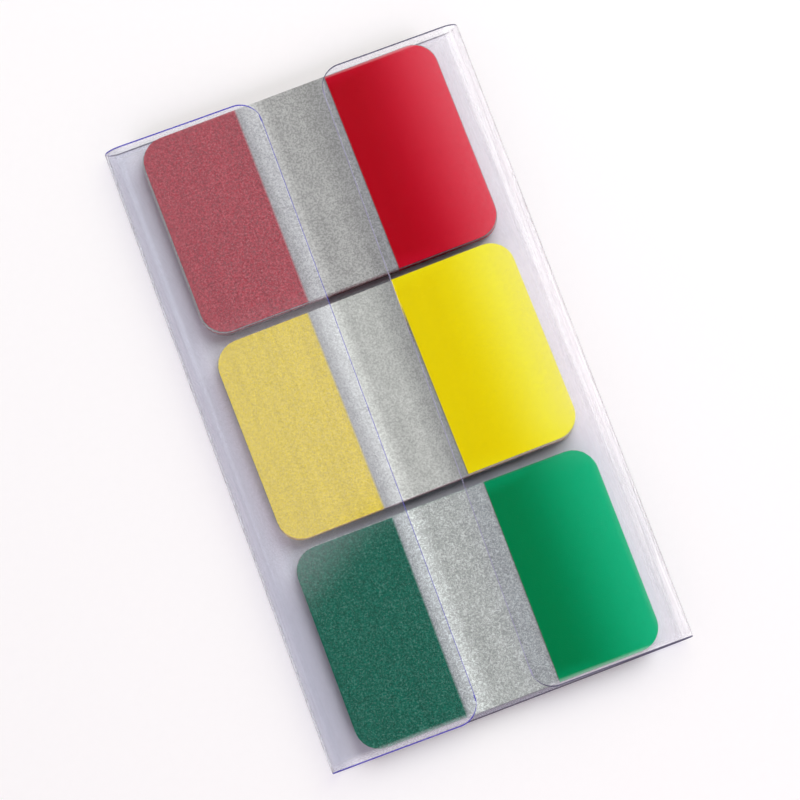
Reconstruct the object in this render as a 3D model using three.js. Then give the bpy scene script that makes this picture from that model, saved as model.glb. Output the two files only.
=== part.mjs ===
// A pocket pack of sticky index tabs, in millimetres, +Z up.
// One clear vinyl sheet is folded round three pads of film tabs that lie side by side on its back panel.
// X runs across the pack, Y along it, and the back panel lies on Z = 0.

import * as THREE from "three";

// One tab is a film rectangle with rounded corners, coloured at one end and frosted clear at the other.
const tabLength = 38.1;
const tabWidth = 25.4;
const tabThickness = 0.11;
const tabCornerRadius = 3.0;
const tabsPerPad = 18;

// The tabs of a pad never lie quite square on one another.
const strayAcross = 0.12;
const strayAlong = 0.1;

// The three pads, in the order in which they lie along the pack, from +Y to -Y.
// Each is stuck down by hand, so it leans by some part of a degree and sits a little off centre.
const pads = [
  { colour: "red", film: 0xc8142b, lean: 0.6, shiftX: 0.14, shiftY: 0.13 },
  { colour: "yellow", film: 0xe8d625, lean: 0.9, shiftX: 0.18, shiftY: 0.3 },
  { colour: "green", film: 0x01874f, lean: 0.15, shiftX: 0.43, shiftY: 0.13 },
];
const padGap = 1.28;

// The sleeve, measured from the pads that it holds.
const sheetThickness = 0.25;
const sideRoom = 3.92;
const endMargin = 0.545;
const flapClearance = 1.62;
const slotWidth = 7.65;
const slotShift = 0.045;
const blankCornerRadius = 2.8;
// The sheet went into the folder a little askew, so its cut edges lean against the folds,
// and the right flap is wider at its foot than at its head.
const blankLean = 0.3;
const rightFlapTaper = 0.75;

// How finely the round stretches are drawn.
const stepsPerFold = 14;
const stepsPerCorner = 6;
// An ellipse curve in a path is drawn with two lines for each of its segments.
const linesPerCurveSegment = 2;

const stackHeight = tabsPerPad * tabThickness;
const padPitch = tabWidth + padGap;
const sleeveWidth = tabLength + 2 * sideRoom;
const sleeveLength = pads.length * padPitch - padGap + 2 * endMargin;
const sleeveHeight = stackHeight + flapClearance + 2 * sheetThickness;

// The fold is half a round tube, and the sheet's length is counted along its middle layer.
const foldRadius = (sleeveHeight - sheetThickness) / 2;
const foldCentreZ = sleeveHeight / 2;
const backHalfWidth = sleeveWidth / 2 - foldCentreZ;
const foldArc = Math.PI * foldRadius;
const flapEdges = {
  left: backHalfWidth + foldArc + backHalfWidth + slotShift - slotWidth / 2,
  right: backHalfWidth + foldArc + backHalfWidth - slotShift - slotWidth / 2,
};

function steps(count) {
  return Array.from({ length: count + 1 }, (_, i) => i / count);
}

// Distances from the middle of the back panel, along the unfolded sheet, at which its form changes:
// round the fold, then across the flap to its free edge, closer together where the corner is cut round.
function stationsTo(freeEdge) {
  const roundTheFold = steps(stepsPerFold).map((part) => backHalfWidth + part * foldArc);
  const roundTheCorner = steps(stepsPerCorner).map(
    (part) => freeEdge - blankCornerRadius * (1 - Math.sin(part * (Math.PI / 2))),
  );
  return [...roundTheFold, ...roundTheCorner];
}

// Half the sheet's length at a station: full, or less where the corner is cut round.
function halfLengthAt(station, freeEdge) {
  const fromCorner = Math.max(0, blankCornerRadius - (freeEdge - Math.abs(station)));
  const roundedOff = blankCornerRadius - Math.sqrt(Math.max(0, blankCornerRadius ** 2 - fromCorner ** 2));
  return sleeveLength / 2 - roundedOff;
}

// How much of the free edge's lean a station takes: none up to the fold, all of it at the corner.
function leanShareAt(station, freeEdge) {
  const beyondFold = Math.abs(station) - backHalfWidth - foldArc;
  const flatOfFlap = freeEdge - blankCornerRadius - backHalfWidth - foldArc;
  return THREE.MathUtils.clamp(beyondFold / flatOfFlap, 0, 1);
}

// Where a point of the flat sheet comes to lie once both sides are folded over.
function foldPoint(along, y, inward) {
  const side = Math.sign(along);
  const beyondBack = Math.abs(along) - backHalfWidth;
  if (beyondBack <= 0) {
    return new THREE.Vector3(along, y, sheetThickness / 2 + inward);
  }
  if (beyondBack < foldArc) {
    const turn = beyondBack / foldRadius;
    const radius = foldRadius - inward;
    const x = backHalfWidth + radius * Math.sin(turn);
    return new THREE.Vector3(side * x, y, foldCentreZ - radius * Math.cos(turn));
  }
  const x = backHalfWidth - (beyondBack - foldArc);
  return new THREE.Vector3(side * x, y, foldCentreZ + foldRadius - inward);
}

function makeSleeve() {
  const stations = [
    ...stationsTo(flapEdges.left).map((station) => -station).reverse(),
    ...stationsTo(flapEdges.right),
  ];
  const spans = stations.length - 1;
  const blank = new THREE.BoxGeometry(spans, 2, sheetThickness, spans, 1, 1);
  const corner = blank.getAttribute("position");
  const blankSlope = Math.tan(THREE.MathUtils.degToRad(blankLean));
  const taperSlope = Math.tan(THREE.MathUtils.degToRad(rightFlapTaper));
  for (let i = 0; i < corner.count; i++) {
    const station = stations[Math.round(corner.getX(i) + spans / 2)];
    const freeEdge = station < 0 ? flapEdges.left : flapEdges.right;
    const edgeSlope = station < 0 ? blankSlope : blankSlope + taperSlope;
    const y = corner.getY(i) * halfLengthAt(station, freeEdge) + station * blankSlope;
    const along = station - y * edgeSlope * leanShareAt(station, freeEdge);
    const folded = foldPoint(along, y, corner.getZ(i));
    corner.setXYZ(i, folded.x, folded.y, folded.z);
  }
  blank.computeVertexNormals();
  const clearVinyl = new THREE.MeshStandardMaterial({
    color: 0xdcdcf2,
    roughness: 0.15,
    metalness: 0,
    transparent: true,
    opacity: 0.3,
  });
  const sleeve = new THREE.Mesh(blank, clearVinyl);
  sleeve.name = "sleeve";
  return sleeve;
}

function tabGeometry() {
  const right = tabLength / 2 - tabCornerRadius;
  const top = tabWidth / 2 - tabCornerRadius;
  const quarter = Math.PI / 2;
  const outline = new THREE.Shape();
  outline.absarc(right, top, tabCornerRadius, 0, quarter);
  outline.absarc(-right, top, tabCornerRadius, quarter, 2 * quarter);
  outline.absarc(-right, -top, tabCornerRadius, 2 * quarter, 3 * quarter);
  outline.absarc(right, -top, tabCornerRadius, 3 * quarter, 4 * quarter);
  return new THREE.ExtrudeGeometry(outline, {
    depth: tabThickness,
    bevelEnabled: false,
    curveSegments: stepsPerCorner / linesPerCurveSegment,
  });
}

// Tabs lie with their coloured ends to the right and to the left by turns, so the pad stays even.
// The top tab shows its coloured end on the right.
function makePad(pad, place) {
  const group = new THREE.Group();
  const middle = (pads.length - 1) / 2;
  group.position.set(pad.shiftX, (middle - place) * padPitch + pad.shiftY, sheetThickness);
  group.rotation.z = THREE.MathUtils.degToRad(pad.lean);
  for (let i = 0; i < tabsPerPad; i++) {
    const film = new THREE.MeshStandardMaterial({ color: pad.film, roughness: 0.4, metalness: 0 });
    const tab = new THREE.Mesh(tabGeometry(), film);
    const fromTop = tabsPerPad - 1 - i;
    tab.name = pad.colour + "_tab_" + String(i + 1).padStart(2, "0");
    tab.position.x = strayAcross * Math.sin(fromTop * 2.4 + place);
    tab.position.y = strayAlong * Math.sin(fromTop * 1.7 + 2 * place);
    tab.position.z = i * tabThickness;
    tab.rotation.z = fromTop % 2 === 0 ? 0 : Math.PI;
    group.add(tab);
  }
  return group;
}

const pack = new THREE.Group();
pack.add(makeSleeve());
pads.forEach((pad, place) => pack.add(makePad(pad, place)));

export default pack;
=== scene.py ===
import math
import bpy
from mathutils import Matrix, Vector


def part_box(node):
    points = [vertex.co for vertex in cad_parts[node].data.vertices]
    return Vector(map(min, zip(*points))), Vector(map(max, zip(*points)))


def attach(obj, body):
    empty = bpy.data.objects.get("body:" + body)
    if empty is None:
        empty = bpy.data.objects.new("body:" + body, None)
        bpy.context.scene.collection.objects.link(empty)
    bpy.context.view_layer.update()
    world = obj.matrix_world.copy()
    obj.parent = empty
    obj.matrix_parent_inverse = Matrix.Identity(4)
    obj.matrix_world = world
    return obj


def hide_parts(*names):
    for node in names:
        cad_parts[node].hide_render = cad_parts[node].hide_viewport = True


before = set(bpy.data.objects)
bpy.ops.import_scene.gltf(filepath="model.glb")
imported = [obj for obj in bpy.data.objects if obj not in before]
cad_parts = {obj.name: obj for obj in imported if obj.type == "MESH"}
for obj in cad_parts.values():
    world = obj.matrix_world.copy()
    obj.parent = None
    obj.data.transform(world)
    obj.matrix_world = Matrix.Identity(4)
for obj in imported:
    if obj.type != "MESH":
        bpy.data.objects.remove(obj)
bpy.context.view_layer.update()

# The sleeve
# One clear soft vinyl sheet with a faint blue-violet tint, cut with round corners and folded round the pads.
# The folds are warm-formed and never quite square to the cut edges, and the two flaps bow a little inwards.
MM = 0.001
sleeve_low, sleeve_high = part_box("sleeve")
sheet_thickness = 0.25 * MM
blank_corner_radius = 2.8 * MM
blank_lean = math.radians(0.3)
right_flap_taper = math.radians(0.75)
slot_width = 7.65 * MM
slot_shift = 0.045 * MM
flap_bow = 0.3 * MM
cut_edge_width = 0.15 * MM
cut_edge_drop = 0.07 * MM
bow_reach = 9 * MM
ripples_per_metre = 55
steps_on_flat = 14
steps_round_fold = 48
steps_round_corner = 14
rows_along_pack = 88

sleeve_height = sleeve_high.z - sleeve_low.z
sleeve_width = sleeve_high.x - sleeve_low.x
fold_radius = (sleeve_height - sheet_thickness) / 2
back_half_width = sleeve_width / 2 - sleeve_height / 2
fold_arc = math.pi * fold_radius
left_free_edge = 2 * back_half_width + fold_arc + slot_shift - slot_width / 2
right_free_edge = 2 * back_half_width + fold_arc - slot_shift - slot_width / 2
# The right flap's corner stands furthest along the pack, where the leaning blank reaches its end.
furthest_corner = (right_free_edge - blank_corner_radius) * math.tan(blank_lean)
sleeve_half_length = sleeve_high.y - furthest_corner


def spread(start, end, count):
    return [start + (end - start) * i / count for i in range(count)]


def stations_to(free_edge):
    """Distances from the middle of the back panel along the sheet, finest at the folds and corners."""
    flap_start = back_half_width + fold_arc
    corner_start = free_edge - blank_corner_radius
    round_the_corner = [corner_start + blank_corner_radius * math.sin(turn)
                        for turn in spread(0, math.pi / 2, steps_round_corner)]
    return (spread(0, back_half_width, steps_on_flat)[1:]
            + spread(back_half_width, flap_start, steps_round_fold)
            + spread(flap_start, corner_start, steps_on_flat) + round_the_corner + [free_edge])


def half_length_at(station, free_edge):
    into_corner = max(0.0, blank_corner_radius - (free_edge - abs(station)))
    rounded_off = blank_corner_radius - math.sqrt(max(0.0, blank_corner_radius ** 2 - into_corner ** 2))
    return sleeve_half_length - rounded_off


def distance_to_cut(station, y, free_edge):
    """How far a point of the flat sheet lies from the nearest cut edge."""
    from_side = free_edge - abs(station)
    from_end = sleeve_half_length - abs(y)
    if from_side < blank_corner_radius and from_end < blank_corner_radius:
        return blank_corner_radius - math.hypot(blank_corner_radius - from_side,
                                                blank_corner_radius - from_end)
    return min(from_side, from_end)


def cut_blank():
    """The flat sheet before folding, with round corners and eased cut edges: X across, Y along the pack."""
    edge_share = cut_edge_width / sleeve_half_length
    inner_rows = spread(-1 + edge_share, 1 - edge_share, rows_along_pack) + [1 - edge_share]
    row_shares = [-1.0] + inner_rows + [1.0]
    left = [-station for station in reversed(stations_to(left_free_edge))]
    columns = left + [0.0] + stations_to(right_free_edge)
    last_row, last_column = len(row_shares) - 1, len(columns) - 1
    layer_size = len(row_shares) * len(columns)
    outer, inner, cut_depths = [], [], []
    for station in columns:
        free_edge = left_free_edge if station < 0 else right_free_edge
        edge_slope = math.tan(blank_lean) + (math.tan(right_flap_taper) if station > 0 else 0)
        flat_of_flap = free_edge - blank_corner_radius - back_half_width - fold_arc
        beyond_fold = abs(station) - back_half_width - fold_arc
        lean_share = min(1.0, max(0.0, beyond_fold / flat_of_flap))
        for share in row_shares:
            square_y = half_length_at(station, free_edge) * share
            cut_depth = max(0.0, distance_to_cut(station, square_y, free_edge))
            y = square_y + station * math.tan(blank_lean)
            x = station - y * edge_slope * lean_share
            eased = cut_edge_drop * (1 - min(1.0, cut_depth / cut_edge_width)) ** 2
            outer.append((x, y, eased - sheet_thickness / 2))
            inner.append((x, y, sheet_thickness / 2 - eased))
            cut_depths.append(cut_depth)

    def corner(column, row, layer=0):
        return layer * layer_size + column * len(row_shares) + row

    faces, on_cut = [], []
    for column in range(last_column):
        for row in range(last_row):
            cell = [corner(column, row), corner(column + 1, row),
                    corner(column + 1, row + 1), corner(column, row + 1)]
            deepest = sum(cut_depths[point] for point in cell) / 4
            faces += [cell[::-1], [point + layer_size for point in cell]]
            on_cut += [deepest < 0.7 * cut_edge_width] * 2
    outline = ([corner(column, 0) for column in range(last_column)]
               + [corner(last_column, row) for row in range(last_row)]
               + [corner(column, last_row) for column in range(last_column, 0, -1)]
               + [corner(0, row) for row in range(last_row, 0, -1)])
    for here, there in zip(outline, outline[1:] + outline[:1]):
        faces.append([here, there, there + layer_size, here + layer_size])
        on_cut.append(True)
    mesh = bpy.data.meshes.new("sleeve_sheet")
    mesh.from_pydata(outer + inner, [], faces)
    cut_edge = mesh.attributes.new("cut_edge", "BOOLEAN", "FACE")
    cut_edge.data.foreach_set("value", on_cut)
    return mesh


def fold_rule():
    """Geometry Nodes that wrap a flat sheet round two folds and let the flaps bow inwards."""
    tree = bpy.data.node_groups.new("fold_sheet", "GeometryNodeTree")
    tree.interface.new_socket("Sheet", in_out="INPUT", socket_type="NodeSocketGeometry")
    for name in ("Back half width", "Fold radius", "Fold centre height", "Flap bow"):
        tree.interface.new_socket(name, in_out="INPUT", socket_type="NodeSocketFloat")
    for name in ("Clear vinyl", "Cut edge"):
        tree.interface.new_socket(name, in_out="INPUT", socket_type="NodeSocketMaterial")
    tree.interface.new_socket("Folded", in_out="OUTPUT", socket_type="NodeSocketGeometry")
    entry = tree.nodes.new("NodeGroupInput").outputs
    leave = tree.nodes.new("NodeGroupOutput")

    def work(operation, *values):
        return calculate(tree.nodes, tree.links, operation, *values)

    place = tree.nodes.new("ShaderNodeSeparateXYZ")
    position = tree.nodes.new("GeometryNodeInputPosition")
    tree.links.new(position.outputs[0], place.inputs[0])
    along, y, inward = place.outputs
    distance = work("ABSOLUTE", along)
    beyond_back = work("SUBTRACT", distance, entry["Back half width"])
    turn = work("MINIMUM", work("MAXIMUM", work("DIVIDE", beyond_back, entry["Fold radius"]), 0), math.pi)
    arc = work("MULTIPLY", entry["Fold radius"], math.pi)
    on_flap = work("MAXIMUM", work("SUBTRACT", beyond_back, arc), 0)

    ripple = tree.nodes.new("ShaderNodeTexNoise")
    ripple.inputs["Scale"].default_value = ripples_per_metre
    ripple.inputs["Detail"].default_value = 1.5
    stretched = tree.nodes.new("ShaderNodeCombineXYZ")
    tree.links.new(along, stretched.inputs[0])
    tree.links.new(work("MULTIPLY", y, 0.45), stretched.inputs[1])
    tree.links.new(stretched.outputs[0], ripple.inputs["Vector"])
    bow_share = work("MINIMUM", work("DIVIDE", on_flap, bow_reach), 1)
    bow = work("MULTIPLY", work("MULTIPLY", bow_share, ripple.outputs[0]), entry["Flap bow"])

    radius = work("SUBTRACT", entry["Fold radius"], work("ADD", inward, bow))
    straight = work("MINIMUM", distance, entry["Back half width"])
    reach = work("SUBTRACT", work("ADD", straight, work("MULTIPLY", radius, work("SINE", turn))), on_flap)
    height = work("SUBTRACT", entry["Fold centre height"], work("MULTIPLY", radius, work("COSINE", turn)))
    folded = tree.nodes.new("ShaderNodeCombineXYZ")
    tree.links.new(work("MULTIPLY", reach, work("SIGN", along)), folded.inputs[0])
    tree.links.new(y, folded.inputs[1])
    tree.links.new(height, folded.inputs[2])
    move = tree.nodes.new("GeometryNodeSetPosition")
    tree.links.new(entry["Sheet"], move.inputs["Geometry"])
    tree.links.new(folded.outputs[0], move.inputs["Position"])
    realized = tree.nodes.new("GeometryNodeRealizeInstances")
    tree.links.new(move.outputs[0], realized.inputs[0])
    clear = tree.nodes.new("GeometryNodeSetMaterial")
    tree.links.new(realized.outputs[0], clear.inputs["Geometry"])
    tree.links.new(entry["Clear vinyl"], clear.inputs["Material"])
    on_cut = tree.nodes.new("GeometryNodeInputNamedAttribute")
    on_cut.data_type = "BOOLEAN"
    on_cut.inputs["Name"].default_value = "cut_edge"
    edged = tree.nodes.new("GeometryNodeSetMaterial")
    tree.links.new(clear.outputs[0], edged.inputs["Geometry"])
    tree.links.new(on_cut.outputs["Attribute"], edged.inputs["Selection"])
    tree.links.new(entry["Cut edge"], edged.inputs["Material"])
    tree.links.new(edged.outputs[0], leave.inputs[0])
    return tree


def new_material(name):
    material = bpy.data.materials.new(name)
    material.use_nodes = True
    nodes = material.node_tree.nodes
    return material, nodes, material.node_tree.links, nodes["Principled BSDF"], nodes["Material Output"]


def node(nodes, kind, **settings):
    made = nodes.new(kind)
    for name, value in settings.items():
        if name[0].isupper():
            made.inputs[name.replace("_", " ")].default_value = value
        else:
            setattr(made, name, value)
    return made


def mix_colours(nodes, links, share, first, second):
    """A colour between two others. Each may be a colour or the socket that gives it."""
    mixed = node(nodes, "ShaderNodeMix", data_type="RGBA")
    links.new(share, mixed.inputs[0])
    for socket, value in ((mixed.inputs[6], first), (mixed.inputs[7], second)):
        if isinstance(value, tuple):
            socket.default_value = (*value, 1)
        else:
            links.new(value, socket)
    return mixed.outputs[2]


def ramp(nodes, links, source, start, end, low=0.0, high=1.0, smooth=False):
    """A value that runs from low to high while source runs from start to end."""
    scaled = node(nodes, "ShaderNodeMapRange", From_Min=start, From_Max=end, To_Min=low, To_Max=high)
    if smooth:
        scaled.interpolation_type = "SMOOTHSTEP"
    links.new(source, scaled.inputs["Value"])
    return scaled.outputs[0]


def calculate(nodes, links, operation, *values):
    step = node(nodes, "ShaderNodeMath", operation=operation)
    for socket, value in zip(step.inputs, values):
        if isinstance(value, (int, float)):
            socket.default_value = value
        else:
            links.new(value, socket)
    return step.outputs[0]


def let_light_through(nodes, links, skin, output, tint):
    """Light from lamps, sky and table passes the sheet with its tint, so what lies under it is lit."""
    passed = node(nodes, "ShaderNodeBsdfTransparent")
    passed.inputs["Color"].default_value = (*tint, 1)
    path = node(nodes, "ShaderNodeLightPath")
    lighting = calculate(nodes, links, "MAXIMUM",
                         path.outputs["Is Shadow Ray"], path.outputs["Is Diffuse Ray"])
    both = node(nodes, "ShaderNodeMixShader")
    links.new(lighting, both.inputs[0])
    links.new(skin.outputs[0], both.inputs[1])
    links.new(passed.outputs[0], both.inputs[2])
    links.new(both.outputs[0], output.inputs["Surface"])


def clear_vinyl():
    """Glossy clear sheet with drawn-out streaks; its tint is painted lighter to the right and darker at the
    left margin, with painted highlights at its folds, painted light at its ends and painted glare over the
    upper pads.
    """
    material, nodes, links, skin, output = new_material("clear_vinyl")
    place = node(nodes, "ShaderNodeTexCoord")
    split = node(nodes, "ShaderNodeSeparateXYZ")
    links.new(place.outputs["Object"], split.inputs[0])
    x, y, z = split.outputs
    streak_frame = node(nodes, "ShaderNodeMapping", Scale=(1.0, 0.04, 1.0))
    links.new(place.outputs["Object"], streak_frame.inputs["Vector"])
    streaks = node(nodes, "ShaderNodeTexNoise", Scale=700.0, Detail=2.0, Roughness=0.6)
    links.new(streak_frame.outputs[0], streaks.inputs["Vector"])
    flat_tint = mix_colours(nodes, links, streaks.outputs["Fac"], (0.86, 0.87, 0.92), (0.95, 0.96, 0.985))
    # Painted light and shade in the tint: clearer towards the right, where the key light falls, and darker on
    # the left margin, where the pads' shadow lies.
    painted_light_to_right = ramp(nodes, links, x, 5 * MM, 14 * MM, 0.0, 0.85)
    tint_with_painted_light = mix_colours(nodes, links, painted_light_to_right, flat_tint, (0.975, 0.975, 0.985))
    painted_shade_on_left = ramp(nodes, links, x, -19.8 * MM, -21.8 * MM, 0.0, 0.8)
    tint_with_painted_light_and_shade = mix_colours(nodes, links, painted_shade_on_left, tint_with_painted_light, (0.75, 0.765, 0.82))
    facing = node(nodes, "ShaderNodeLayerWeight", Blend=0.5)
    edge_on = ramp(nodes, links, facing.outputs["Facing"], 0.55, 0.9)
    links.new(mix_colours(nodes, links, edge_on, tint_with_painted_light_and_shade, (0.045, 0.045, 0.07)), skin.inputs["Base Color"])
    links.new(ramp(nodes, links, streaks.outputs["Fac"], 0, 1, 0.02, 0.08), skin.inputs["Roughness"])
    # Set well under the vinyl's own 1.53, so that the flaps' reflections don't hide the tabs.
    skin.inputs["IOR"].default_value = 1.33

    specks = node(nodes, "ShaderNodeTexNoise", Scale=5000.0, Detail=2.0)
    links.new(place.outputs["Object"], specks.inputs["Vector"])
    # Painted glare: the flaps are made hazy over the left flap and towards the right fold, most over the
    # upper pads, lightening what lies beneath them.
    over_left_flap = ramp(nodes, links, x, -3.0 * MM, -4.0 * MM)
    to_right_fold = calculate(nodes, links, "POWER", ramp(nodes, links, x, 9 * MM, 19 * MM), 2.4)
    towards_left_fold = calculate(nodes, links, "ADD", y, ramp(nodes, links, x, -18 * MM, -8 * MM, 6 * MM, 0))
    above_green_pad = ramp(nodes, links, towards_left_fold, -17 * MM, -8 * MM, 0.1, 1.45, smooth=True)
    thinner_on_red_pad = ramp(nodes, links, y, 11 * MM, 16 * MM, 1.0, 0.6)
    over_upper_pads = calculate(nodes, links, "MULTIPLY", above_green_pad, thinner_on_red_pad)
    across = calculate(nodes, links, "ADD", over_left_flap, to_right_fold)
    on_flaps = ramp(nodes, links, z, 1 * MM, 3 * MM)
    specked = ramp(nodes, links, specks.outputs["Fac"], 0.35, 0.65, 0.025, 0.075)
    painted_glare = calculate(nodes, links, "MULTIPLY", calculate(nodes, links, "MULTIPLY", across, over_upper_pads),
                     calculate(nodes, links, "MULTIPLY", specked, on_flaps))
    fine_lines = node(nodes, "ShaderNodeTexNoise", Scale=2600.0, Detail=2.0)
    links.new(streak_frame.outputs[0], fine_lines.inputs["Vector"])
    # Painted highlights: the folds scatter more in fine lines, strongly at the right fold that faces the key
    # light and faintly at the left one.
    at_folds = calculate(nodes, links, "MAXIMUM", ramp(nodes, links, x, 18.6 * MM, 22.6 * MM, smooth=True),
                         ramp(nodes, links, x, -20.8 * MM, -22.4 * MM, 0.0, 0.3))
    painted_fold_highlights = calculate(nodes, links, "MULTIPLY", at_folds,
                         ramp(nodes, links, fine_lines.outputs["Fac"], 0.35, 0.65, 0.1, 0.4))
    from_middle = calculate(nodes, links, "ABSOLUTE", y)
    # Painted light: the sheet scatters more near its ends, lightening the end strips that lie in the pads'
    # shadow.
    painted_end_light = calculate(nodes, links, "MULTIPLY",
                        ramp(nodes, links, from_middle, 38.9 * MM, 39.6 * MM, 0.0, 0.3),
                        ramp(nodes, links, specks.outputs["Fac"], 0.35, 0.65, 0.7, 1.0))
    # The sheet's loss of clearness here is all painted light: glare on the flaps, highlights at the folds and
    # lighter ends.
    painted_light_scattering = calculate(nodes, links, "ADD", painted_glare, calculate(nodes, links, "MAXIMUM", painted_fold_highlights, painted_end_light))
    links.new(calculate(nodes, links, "SUBTRACT", 1.0, painted_light_scattering), skin.inputs["Transmission Weight"])
    bump = node(nodes, "ShaderNodeBump", Strength=0.2, Distance=0.00004)
    links.new(streaks.outputs["Fac"], bump.inputs["Height"])
    links.new(bump.outputs[0], skin.inputs["Normal"])
    let_light_through(nodes, links, skin, output, (0.95, 0.95, 0.965))
    return material


def vinyl_edge():
    """The cut edge gathers the sheet's tint: deep blue-violet on the left flap, pale on the right one."""
    material, nodes, links, skin, output = new_material("vinyl_cut_edge")
    place = node(nodes, "ShaderNodeTexCoord")
    split = node(nodes, "ShaderNodeSeparateXYZ")
    links.new(place.outputs["Object"], split.inputs[0])
    along_edge = node(nodes, "ShaderNodeTexNoise", Scale=260.0, Detail=2.0)
    links.new(place.outputs["Object"], along_edge.inputs["Vector"])
    # Painted glint: the blue line turns pale in short stretches along the edge.
    painted_glints = ramp(nodes, links, along_edge.outputs["Fac"], 0.62, 0.72, 0.0, 0.6)
    deep = mix_colours(nodes, links, painted_glints, (0.07, 0.06, 0.44), (0.40, 0.40, 0.75))
    from_middle = calculate(nodes, links, "ABSOLUTE", split.outputs["Y"])
    pale_to_ends = ramp(nodes, links, from_middle, 37 * MM, 39 * MM)
    pale = mix_colours(nodes, links, pale_to_ends, (0.42, 0.41, 0.62), (0.10, 0.10, 0.16))
    on_right = ramp(nodes, links, split.outputs["X"], -1 * MM, 1 * MM)
    on_flap = ramp(nodes, links, split.outputs["Z"], 0.5 * MM, 2.5 * MM)
    flap_tint = mix_colours(nodes, links, on_right, deep, pale)
    tint = mix_colours(nodes, links, on_flap, (0.10, 0.10, 0.14), flap_tint)
    links.new(tint, skin.inputs["Base Color"])
    skin.inputs["Roughness"].default_value = 0.4
    skin.inputs["Specular IOR Level"].default_value = 0.15
    let_light_through(nodes, links, skin, output, (0.8, 0.8, 0.92))
    return material


sleeve_sheet = bpy.data.objects.new("sleeve_sheet", cut_blank())
bpy.context.scene.collection.objects.link(sleeve_sheet)
fold = sleeve_sheet.modifiers.new("fold", "NODES")
fold.node_group = fold_rule()
fold_inputs = {item.name: item.identifier for item in fold.node_group.interface.items_tree
               if item.item_type == "SOCKET" and item.in_out == "INPUT"}
fold[fold_inputs["Back half width"]] = back_half_width
fold[fold_inputs["Fold radius"]] = fold_radius
fold[fold_inputs["Fold centre height"]] = sleeve_height / 2
fold[fold_inputs["Flap bow"]] = flap_bow
fold[fold_inputs["Clear vinyl"]] = clear_vinyl()
fold[fold_inputs["Cut edge"]] = vinyl_edge()
evaluated = sleeve_sheet.evaluated_get(bpy.context.evaluated_depsgraph_get())
folded_mesh = bpy.data.meshes.new_from_object(evaluated)
sleeve_sheet.modifiers.clear()
sleeve_sheet.data = folded_mesh
folded_mesh.shade_smooth()
folded_mesh.set_sharp_from_angle(angle=math.radians(20))
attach(sleeve_sheet, "root")
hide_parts("sleeve")

# The tabs
# Each tab is one thin satin film, printed with solid colour at one end and left frosted at the other.
# They lie with coloured ends right and left by turns, so a coloured end shows hazy through the tab above.
# The coloured right ends are painted lighter towards their outer ends and their long edges: painted light,
# where light enters the stack's cut edges.
TABS_PER_PAD = 18
tab_length = 38.1 * MM
tab_width = 25.4 * MM
tab_corner_radius = 3.0 * MM
corner_steps = 12
# Leans are in degrees and the lengths of the coloured ends in millimetres.
# Some of these colours paint light and shade: a lighter colour for the outer part of each coloured right end,
# and the depth of a painted shadow of the right flap's edge on the frosted middle.
pad_looks = {
    "red": {"ink": (0.46, 0.0006, 0.009), "painted_glow_colour": (0.80, 0.005, 0.04), "under_ink": (0.42, 0.001, 0.022),
            "wall": (0.24, 0.012, 0.045), "frosted": (0.355, 0.375, 0.36), "veil": 0.03, "creases": 0.15,
            "grain": 1.0, "flecks": 0.13, "mottle": 0.36, "painted_end_glow": 1.1, "painted_flap_shadow": 0.2,
            "lean": 0.6, "right_end": 13.6, "left_end": 12.8},
    "yellow": {"ink": (0.89, 0.74, 0.002), "painted_glow_colour": (1.0, 0.96, 0.01), "under_ink": (0.89, 0.71, 0.006),
               "wall": (0.75, 0.44, 0.52), "frosted": (0.445, 0.48, 0.45), "veil": 0.03, "creases": 0.3,
               "grain": 0.8, "flecks": 0.08, "mottle": 0.18, "painted_end_glow": 1.6, "painted_flap_shadow": 0.3,
               "lean": 0.9, "right_end": 14.8, "left_end": 12.4},
    "green": {"ink": (0.0005, 0.23, 0.068), "painted_glow_colour": (0.002, 0.56, 0.24), "under_ink": (0.0005, 0.141, 0.083),
              "wall": (0.20, 0.34, 0.36), "frosted": (0.405, 0.45, 0.43), "veil": 0.012, "creases": 1.7,
              "grain": 0.6, "flecks": 0.10, "mottle": 0.38, "painted_end_glow": 1.0, "painted_flap_shadow": 0.0,
              "lean": 0.15, "right_end": 13.5, "left_end": 12.9},
}


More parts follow.
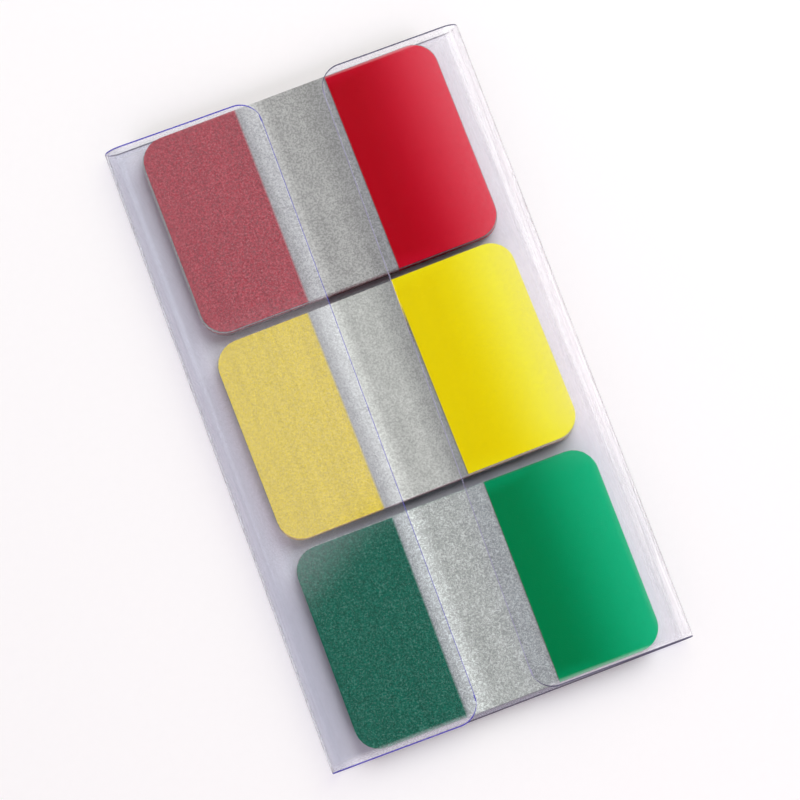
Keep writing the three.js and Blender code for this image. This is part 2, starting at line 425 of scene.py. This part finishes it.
def printed_film(name, look, middle, ink_on_right, see_through):
    """Film with ink at one end and frosted clear at the other, measured from the middle of its pad."""
    material, nodes, links, skin, output = new_material(name)
    place = node(nodes, "ShaderNodeTexCoord")
    on_pad = node(nodes, "ShaderNodeMapping", vector_type="TEXTURE", Location=middle,
                  Rotation=(0, 0, math.radians(look["lean"])))
    links.new(place.outputs["Object"], on_pad.inputs["Vector"])
    split = node(nodes, "ShaderNodeSeparateXYZ")
    links.new(on_pad.outputs[0], split.inputs[0])
    x, y = split.outputs["X"], split.outputs["Y"]
    side = 1 if ink_on_right else -1
    outwards = calculate(nodes, links, "MULTIPLY", x, side)
    ink_start = tab_length / 2 - look["right_end" if ink_on_right else "left_end"] * MM
    blur = (0.06 if ink_on_right else 0.16) * MM
    inked = ramp(nodes, links, outwards, ink_start - blur, ink_start + blur)

    # The frost is a fine fibrous grain with wandering creases where the film has wrinkled.
    fibre = node(nodes, "ShaderNodeTexNoise", Scale=4200.0, Detail=2.0, Roughness=0.7)
    links.new(on_pad.outputs[0], fibre.inputs["Vector"])
    wander = node(nodes, "ShaderNodeTexNoise", Scale=1700.0, Detail=1.0, Distortion=1.5)
    links.new(on_pad.outputs[0], wander.inputs["Vector"])
    from_ridge = calculate(nodes, links, "ABSOLUTE",
                           calculate(nodes, links, "SUBTRACT", wander.outputs["Fac"], 0.5))
    crease = ramp(nodes, links, from_ridge, 0.0, 0.07, look["creases"], -0.4 * look["creases"])
    cloud = node(nodes, "ShaderNodeTexNoise", Scale=350.0, Detail=2.0)
    links.new(on_pad.outputs[0], cloud.inputs["Vector"])
    grain_depth = 0.24 * look["grain"]
    grain = ramp(nodes, links, fibre.outputs["Fac"], 0.38, 0.62, 1 - grain_depth, 1 + grain_depth)
    drawn_frame = node(nodes, "ShaderNodeMapping", Scale=(1.0, 0.03, 1.0))
    links.new(on_pad.outputs[0], drawn_frame.inputs["Vector"])
    drawn_lines = node(nodes, "ShaderNodeTexNoise", Scale=1500.0, Detail=2.0)
    links.new(drawn_frame.outputs[0], drawn_lines.inputs["Vector"])
    drawn = ramp(nodes, links, drawn_lines.outputs["Fac"], 0.35, 0.65, 0.96, 1.04)
    clouds = ramp(nodes, links, cloud.outputs["Fac"], 0.35, 0.65, 0.96, 1.04)
    cloudy = calculate(nodes, links, "MULTIPLY", drawn, clouds)
    even_tone = calculate(nodes, links, "MULTIPLY", grain, cloudy)
    tone = calculate(nodes, links, "MULTIPLY_ADD", crease, 0.22, even_tone)
    # Painted light and shade on the frost: a lighter band along the left flap's edge, and a painted shadow of
    # the right flap's edge under and just beside it.
    painted_light_band = calculate(nodes, links, "MULTIPLY",
                       ramp(nodes, links, x, -6.6 * MM, -4.4 * MM, 0, 0.62, smooth=True),
                       ramp(nodes, links, x, -4.4 * MM, -2.0 * MM, 1, 0.12, smooth=True))
    painted_flap_shadow = calculate(nodes, links, "MULTIPLY",
                       ramp(nodes, links, x, 0.5 * MM, 3.6 * MM, 0, -look["painted_flap_shadow"], smooth=True),
                       ramp(nodes, links, x, 4.0 * MM, 5.6 * MM, 1, 0, smooth=True))
    painted_light_and_shade_bands = calculate(nodes, links, "ADD", 1.0, calculate(nodes, links, "ADD", painted_light_band, painted_flap_shadow))
    frosted = node(nodes, "ShaderNodeVectorMath", operation="SCALE")
    frosted.inputs[0].default_value = look["frosted"]
    links.new(calculate(nodes, links, "MULTIPLY", tone, painted_light_and_shade_bands), frosted.inputs["Scale"])

    if ink_on_right:
        # Painted light: the coloured end is painted lighter towards its outer end and along its long edges.
        past_end = tab_length / 2 + 3.0 * MM
        painted_glow_to_end = ramp(nodes, links, outwards, 7.2 * MM, past_end, 0, look["painted_end_glow"], smooth=True)
        off_middle = calculate(nodes, links, "ABSOLUTE", y)
        half_width = tab_width / 2
        painted_glow_to_long_edge = ramp(nodes, links, off_middle, half_width - 2.0 * MM, half_width, 0, 0.25, smooth=True)
        painted_glow_near_edges = calculate(nodes, links, "MAXIMUM", painted_glow_to_end, painted_glow_to_long_edge)
        pure = mix_colours(nodes, links, painted_glow_near_edges, look["ink"], look["painted_glow_colour"])
        mottle = ramp(nodes, links, fibre.outputs["Fac"], 0.3, 0.7, 0.93, 1.07)
    else:
        lifted = calculate(nodes, links, "MULTIPLY_ADD", crease, 0.08, fibre.outputs["Fac"])
        flecks = ramp(nodes, links, lifted, 0.5, 0.72, 0.0, look["flecks"])
        pure = mix_colours(nodes, links, flecks, look["under_ink"], look["frosted"])
        speckle = ramp(nodes, links, fibre.outputs["Fac"], 0.36, 0.64,
                       1 - look["mottle"], 1 + look["mottle"])
        mottle = calculate(nodes, links, "MULTIPLY", drawn, speckle)
    ink = node(nodes, "ShaderNodeVectorMath", operation="SCALE")
    links.new(pure, ink.inputs[0])
    links.new(mottle, ink.inputs["Scale"])
    printed = mix_colours(nodes, links, inked, frosted.outputs[0], ink.outputs[0])
    normal = node(nodes, "ShaderNodeNewGeometry")
    flatness = node(nodes, "ShaderNodeSeparateXYZ")
    links.new(normal.outputs["True Normal"], flatness.inputs[0])
    on_face = ramp(nodes, links, calculate(nodes, links, "ABSOLUTE", flatness.outputs["Z"]), 0.2, 0.6)
    links.new(mix_colours(nodes, links, on_face, look["wall"], printed), skin.inputs["Base Color"])
    if see_through:
        veil = ramp(nodes, links, fibre.outputs["Fac"], 0.3, 0.7, look["veil"] * 0.3, look["veil"] * 1.8)
        cover = node(nodes, "ShaderNodeMix", data_type="FLOAT")
        links.new(inked, cover.inputs[0])
        links.new(veil, cover.inputs[2])
        cover.inputs[3].default_value = 1.0
        links.new(cover.outputs[0], skin.inputs["Alpha"])
    skin.inputs["Roughness"].default_value = 0.26
    skin.inputs["Specular IOR Level"].default_value = 0.06
    frost_relief = calculate(nodes, links, "MULTIPLY_ADD", crease, 1.5, fibre.outputs["Fac"])
    smoother = -0.9 if ink_on_right else -0.5
    relief = calculate(nodes, links, "MULTIPLY", frost_relief,
                       calculate(nodes, links, "MULTIPLY_ADD", inked, smoother, 1.0))
    bump = node(nodes, "ShaderNodeBump", Strength=0.4, Distance=0.00003)
    links.new(relief, bump.inputs["Height"])
    links.new(bump.outputs[0], skin.inputs["Normal"])
    return material


def loose_film(name, low, high, lean):
    """The outermost tab of a pad: fine round corners, and a hair of air between it and the next one."""
    air = 0.02 * MM
    middle = (low + high) / 2
    bottom, top = low.z + air, high.z
    if name.endswith("_01"):
        bottom, top = low.z, high.z - air
    outline = []
    for quarter, (sx, sy) in enumerate(((1, 1), (-1, 1), (-1, -1), (1, -1))):
        turn_start, turn_end = quarter * math.pi / 2, (quarter + 1) * math.pi / 2
        for turn in spread(turn_start, turn_end, corner_steps) + [turn_end]:
            outline.append((sx * (tab_length / 2 - tab_corner_radius) + tab_corner_radius * math.cos(turn),
                            sy * (tab_width / 2 - tab_corner_radius) + tab_corner_radius * math.sin(turn)))
    turned = Matrix.Rotation(lean, 2)
    points = [turned @ Vector(corner) for corner in outline]
    count = len(points)
    vertices = [(p.x + middle.x, p.y + middle.y, z) for z in (bottom, top) for p in points]
    faces = [list(range(count))[::-1], list(range(count, 2 * count))]
    faces += [[i, (i + 1) % count, count + (i + 1) % count, count + i] for i in range(count)]
    mesh = bpy.data.meshes.new(name)
    mesh.from_pydata(vertices, [], faces)
    film = bpy.data.objects.new(name, mesh)
    bpy.context.scene.collection.objects.link(film)
    return film


for colour_name, look in pad_looks.items():
    top_low, top_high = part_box(f"{colour_name}_tab_{TABS_PER_PAD:02d}")
    middle = (top_low + top_high) / 2
    finishes = {}
    for number in range(1, TABS_PER_PAD + 1):
        ink_on_right = (TABS_PER_PAD - number) % 2 == 0
        outermost = number in (1, TABS_PER_PAD)
        kind = f"{colour_name}_film_{'right' if ink_on_right else 'left'}{'_veil' if outermost else ''}"
        if kind not in finishes:
            finishes[kind] = printed_film(kind, look, middle, ink_on_right, outermost)
        node_name = f"{colour_name}_tab_{number:02d}"
        if outermost:
            lean = math.radians(look["lean"])
            film = loose_film(f"{colour_name}_film_{number:02d}", *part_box(node_name), lean)
            film.data.materials.append(finishes[kind])
            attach(film, "root")
            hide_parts(node_name)
            continue
        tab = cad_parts[node_name]
        for material_slot in tab.material_slots:
            material_slot.material = finishes[kind]

# The floor, the light and the camera
# A white table, one large soft key light from the upper right, a weak mauve fill from the front and
# a pale sky that is dark overhead. The table's faint green evens out the pink of the sky.
# The camera looks down on the pack, turned so that the pack lies slantwise in the frame.
floor_material, nodes, links, skin, output = new_material("white_table")
skin.inputs["Roughness"].default_value = 0.9
skin.inputs["Specular IOR Level"].default_value = 0.2
place = node(nodes, "ShaderNodeTexCoord")
paper = node(nodes, "ShaderNodeTexNoise", Scale=900.0, Detail=2.0)
links.new(place.outputs["Object"], paper.inputs["Vector"])
links.new(mix_colours(nodes, links, paper.outputs["Fac"], (0.95, 0.975, 0.965), (0.97, 0.995, 0.985)),
          skin.inputs["Base Color"])
floor_half = 3.0
floor_mesh = bpy.data.meshes.new("table_top")
floor_mesh.from_pydata([(-floor_half, -floor_half, 0), (floor_half, -floor_half, 0),
                        (floor_half, floor_half, 0), (-floor_half, floor_half, 0)], [], [(0, 1, 2, 3)])
floor = bpy.data.objects.new("table_top", floor_mesh)
floor_mesh.materials.append(floor_material)
bpy.context.scene.collection.objects.link(floor)
floor.location.z = -0.05 * MM

horizon_strength = 1.1
overhead_strength = 0.01
sky_tint = (1.0, 0.88, 0.92)
world = bpy.data.worlds.new("studio")
world.use_nodes = True
nodes, links = world.node_tree.nodes, world.node_tree.links
direction = node(nodes, "ShaderNodeTexCoord")
split = node(nodes, "ShaderNodeSeparateXYZ")
links.new(direction.outputs["Generated"], split.inputs[0])
strength = ramp(nodes, links, split.outputs["Z"], 0.3, 0.8, horizon_strength, overhead_strength, smooth=True)
links.new(strength, nodes["Background"].inputs["Strength"])
nodes["Background"].inputs["Color"].default_value = (*sky_tint, 1)
bpy.context.scene.world = world


def soft_lamp(name, place, size, watts, colour):
    light = bpy.data.lights.new(name, "AREA")
    light.shape = "DISK"
    light.size = size
    light.energy = watts
    light.color = colour
    lamp = bpy.data.objects.new(name, light)
    lamp.location = place
    lamp.rotation_mode = "QUATERNION"
    lamp.rotation_quaternion = (-Vector(place)).to_track_quat("-Z", "Y")
    bpy.context.scene.collection.objects.link(lamp)


soft_lamp("key", place=(0.46, 0.48, 0.717), size=0.95, watts=8.8, colour=(0.98, 1.0, 0.985))
soft_lamp("fill", place=(0.12, -0.62, 0.50), size=0.5, watts=1.8, colour=(1.0, 0.80, 0.92))

camera_aim = (0.295 * MM, -0.677 * MM, 0)
camera_distance = 356.3 * MM
camera_roll = math.radians(-20.675)
camera_tip = math.radians(7.218)
camera_lean = math.radians(-3.091)
photo_size = 800
focal_length_px = 2941.4
camera_data = bpy.data.cameras.new("camera")
camera_data.sensor_width = 36
camera_data.lens = camera_data.sensor_width * focal_length_px / photo_size
camera_data.clip_start = 0.01
camera = bpy.data.objects.new("camera", camera_data)
camera.matrix_world = (Matrix.Translation(camera_aim) @ Matrix.Rotation(camera_lean, 4, "Y")
                       @ Matrix.Rotation(camera_tip, 4, "X") @ Matrix.Rotation(camera_roll, 4, "Z")
                       @ Matrix.Translation((0, 0, camera_distance)))
bpy.context.scene.collection.objects.link(camera)
bpy.context.scene.camera = camera
bpy.context.scene.view_settings.view_transform = "Standard"
